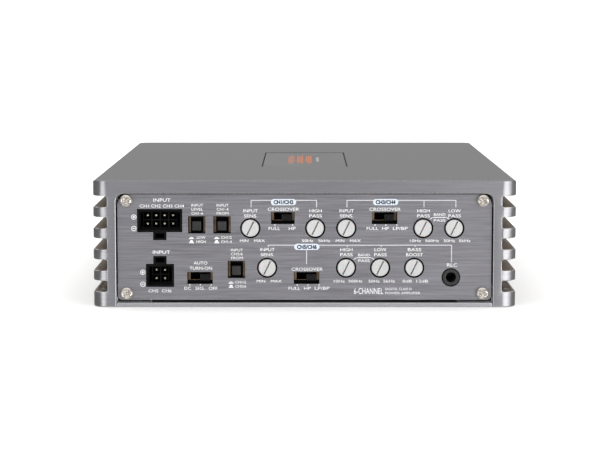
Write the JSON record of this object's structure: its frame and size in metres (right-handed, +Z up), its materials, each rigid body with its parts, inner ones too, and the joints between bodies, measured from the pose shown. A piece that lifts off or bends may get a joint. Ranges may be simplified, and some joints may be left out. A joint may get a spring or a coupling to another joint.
{
  "type": "car amplifier",
  "caption": "Compact multichannel car audio amplifier with a finned extruded body, a front control panel, and power and speaker sockets at the back.",
  "frame": {"origin": "centre of the pattern of four mounting holes, on the base", "axes": "+Z up, -Y towards the control panel, +X to the right when facing it"},
  "size_m": [0.1494, 0.2181, 0.0446],
  "materials": {
    "anodised_body": "bead-blasted, satin silver-grey anodised",
    "brushed_panel": "horizontally brushed, grey anodised",
    "bottom_sheet": "fine rolled sheet, light grey anodised",
    "badge_inlay": "satin grey inlay with a printed graphic",
    "nickel_screw": "nickel plated",
    "countersunk_screw": "black zinc plated steel",
    "zinc_screw": "bright zinc plated steel",
    "circuit_board": "solder mask over glass fibre laminate",
    "brass": "plain turned brass",
    "plated_contact": "tin plated brass",
    "black_plastic": "moulded, fine matt",
    "white_nylon": "moulded white nylon",
    "cap_grey": "moulded dark grey",
    "shield_metal": "warm tinted spring steel shield",
    "trimmer_body": "moulded black housing",
    "charcoal_plastic": "moulded charcoal",
    "led_lens": "clear tinted epoxy",
    "copper_winding": "enamelled copper wire",
    "can_sleeve": "shrunk plastic sleeve",
    "ferrite": "sintered ferrite",
    "epoxy_package": "moulded epoxy",
    "thermal_pad": "soft grey silicone pad",
    "clamp_steel": "zinc plated steel bar",
    "fuse_green": "translucent green moulding"
  },
  "bodies": {
    "root": {"heatsink_body": "anodised_body", "badge_plate": "badge_inlay", "bottom_plate": "bottom_sheet", "bottom_screws": "countersunk_screw", "front_panel": "brushed_panel", "rear_panel": "brushed_panel", "panel_screws": "nickel_screw", "main_board": "circuit_board", "main_board_screws": "zinc_screw", "control_board": "circuit_board", "control_board_spacers": "brass", "control_board_screws": "zinc_screw", "riser_board": "circuit_board", "riser_connectors": "black_plastic", "input_header_8way": "black_plastic", "input_header_4way": "black_plastic", "input_header_pins": "plated_contact", "trimmer_bodies": "trimmer_body", "push_switch_bodies": "black_plastic", "slide_switch_bodies": "black_plastic", "remote_jack": "charcoal_plastic", "jack_contact": "plated_contact", "terminal_block": "black_plastic", "terminal_busbars": "brass", "speaker_header": "black_plastic", "speaker_header_pins": "plated_contact", "fuse_holder": "black_plastic", "status_led": "led_lens", "transformer_winding": "copper_winding", "transformer_base": "black_plastic", "capacitors": "can_sleeve", "output_inductors": "ferrite", "power_transistors": "epoxy_package", "thermal_pads": "thermal_pad", "transistor_clamps": "clamp_steel", "clamp_screws": "zinc_screw"},
    "shaft_sens_a": {"shaft_sens_a": "white_nylon"},
    "shaft_highpass_a": {"shaft_highpass_a": "white_nylon"},
    "shaft_sens_b": {"shaft_sens_b": "white_nylon"},
    "shaft_highpass_b": {"shaft_highpass_b": "white_nylon"},
    "shaft_lowpass_b": {"shaft_lowpass_b": "white_nylon"},
    "shaft_sens_c": {"shaft_sens_c": "white_nylon"},
    "shaft_highpass_c": {"shaft_highpass_c": "white_nylon"},
    "shaft_lowpass_c": {"shaft_lowpass_c": "white_nylon"},
    "shaft_bass_c": {"shaft_bass_c": "white_nylon"},
    "cap_level": {"cap_level": "cap_grey"},
    "cap_source_a": {"cap_source_a": "cap_grey"},
    "cap_source_c": {"cap_source_c": "cap_grey"},
    "knob_turn_on": {"knob_turn_on": "black_plastic"},
    "knob_crossover_a": {"knob_crossover_a": "black_plastic"},
    "knob_crossover_b": {"knob_crossover_b": "black_plastic"},
    "knob_crossover_c": {"knob_crossover_c": "black_plastic"},
    "screw_battery": {"screw_battery": "nickel_screw"},
    "cage_battery": {"cage_battery": "plated_contact"},
    "screw_ground": {"screw_ground": "nickel_screw"},
    "cage_ground": {"cage_ground": "plated_contact"},
    "screw_remote": {"screw_remote": "nickel_screw"},
    "cage_remote": {"cage_remote": "plated_contact"},
    "fuse_upper": {"fuse_upper": "fuse_green"},
    "fuse_lower": {"fuse_lower": "fuse_green"}
  },
  "joints": [
    {"name": "trim_sens_a", "type": "hinge", "parent": "root", "child": "shaft_sens_a", "pos_m": [-0.0191, -0.1018, 0.02775], "axis": [0, 1, 0], "range_deg": [0, 300]},
    {"name": "trim_highpass_a", "type": "hinge", "parent": "root", "child": "shaft_highpass_a", "pos_m": [0.00375, -0.1018, 0.02775], "axis": [0, 1, 0], "range_deg": [0, 300]},
    {"name": "trim_sens_b", "type": "hinge", "parent": "root", "child": "shaft_sens_b", "pos_m": [0.0147, -0.1018, 0.02775], "axis": [0, 1, 0], "range_deg": [0, 300]},
    {"name": "trim_highpass_b", "type": "hinge", "parent": "root", "child": "shaft_highpass_b", "pos_m": [0.04175, -0.1018, 0.02775], "axis": [0, 1, 0], "range_deg": [0, 300]},
    {"name": "trim_lowpass_b", "type": "hinge", "parent": "root", "child": "shaft_lowpass_b", "pos_m": [0.0527, -0.1018, 0.02775], "axis": [0, 1, 0], "range_deg": [0, 300]},
    {"name": "trim_sens_c", "type": "hinge", "parent": "root", "child": "shaft_sens_c", "pos_m": [-0.0132, -0.1018, 0.0137], "axis": [0, 1, 0], "range_deg": [0, 300]},
    {"name": "trim_highpass_c", "type": "hinge", "parent": "root", "child": "shaft_highpass_c", "pos_m": [0.01465, -0.1018, 0.0137], "axis": [0, 1, 0], "range_deg": [0, 300]},
    {"name": "trim_lowpass_c", "type": "hinge", "parent": "root", "child": "shaft_lowpass_c", "pos_m": [0.02665, -0.1018, 0.0137], "axis": [0, 1, 0], "range_deg": [0, 300]},
    {"name": "trim_bass_c", "type": "hinge", "parent": "root", "child": "shaft_bass_c", "pos_m": [0.03865, -0.1018, 0.0137], "axis": [0, 1, 0], "range_deg": [0, 300]},
    {"name": "press_level", "type": "slide", "parent": "root", "child": "cap_level", "axis": [0, 1, 0], "range_m": [0, 0.0028], "stiffness_N_per_m": 300},
    {"name": "press_source_a", "type": "slide", "parent": "root", "child": "cap_source_a", "axis": [0, 1, 0], "range_m": [0, 0.0028], "stiffness_N_per_m": 300},
    {"name": "press_source_c", "type": "slide", "parent": "root", "child": "cap_source_c", "axis": [0, 1, 0], "range_m": [0, 0.0028], "stiffness_N_per_m": 300},
    {"name": "slide_turn_on", "type": "slide", "parent": "root", "child": "knob_turn_on", "axis": [-1, 0, 0], "range_m": [0, 0.0034]},
    {"name": "slide_crossover_a", "type": "slide", "parent": "root", "child": "knob_crossover_a", "axis": [-1, 0, 0], "range_m": [0, 0.0026]},
    {"name": "slide_crossover_b", "type": "slide", "parent": "root", "child": "knob_crossover_b", "axis": [-1, 0, 0], "range_m": [0, 0.0034]},
    {"name": "slide_crossover_c", "type": "slide", "parent": "root", "child": "knob_crossover_c", "axis": [-1, 0, 0], "range_m": [0, 0.0034]},
    {"name": "turn_battery", "type": "hinge", "parent": "root", "child": "screw_battery", "pos_m": [-0.049, 0.107, 0.0224], "axis": [0, 0, -1], "range_deg": [0, 1980.01]},
    {"name": "lift_battery", "type": "slide", "parent": "root", "child": "cage_battery", "axis": [0, 0, 1], "range_m": [0, 0.0044]},
    {"name": "turn_ground", "type": "hinge", "parent": "root", "child": "screw_ground", "pos_m": [-0.0345, 0.107, 0.0224], "axis": [0, 0, -1], "range_deg": [0, 1980.01]},
    {"name": "lift_ground", "type": "slide", "parent": "root", "child": "cage_ground", "axis": [0, 0, 1], "range_m": [0, 0.0044]},
    {"name": "turn_remote", "type": "hinge", "parent": "root", "child": "screw_remote", "pos_m": [-0.0225, 0.107, 0.0224], "axis": [0, 0, -1], "range_deg": [0, 1440.01]},
    {"name": "lift_remote", "type": "slide", "parent": "root", "child": "cage_remote", "axis": [0, 0, 1], "range_m": [0, 0.002]},
    {"name": "pull_fuse_upper", "type": "slide", "parent": "root", "child": "fuse_upper", "axis": [0, 1, 0], "range_m": [0, 0.016]},
    {"name": "pull_fuse_lower", "type": "slide", "parent": "root", "child": "fuse_lower", "axis": [0, 1, 0], "range_m": [0, 0.016]}
  ],
  "couplings": [
    {"joint": "turn_battery", "follows": "lift_battery", "rad_per_m": 7854},
    {"joint": "turn_ground", "follows": "lift_ground", "rad_per_m": 7854},
    {"joint": "turn_remote", "follows": "lift_remote", "rad_per_m": 12566}
  ]
}
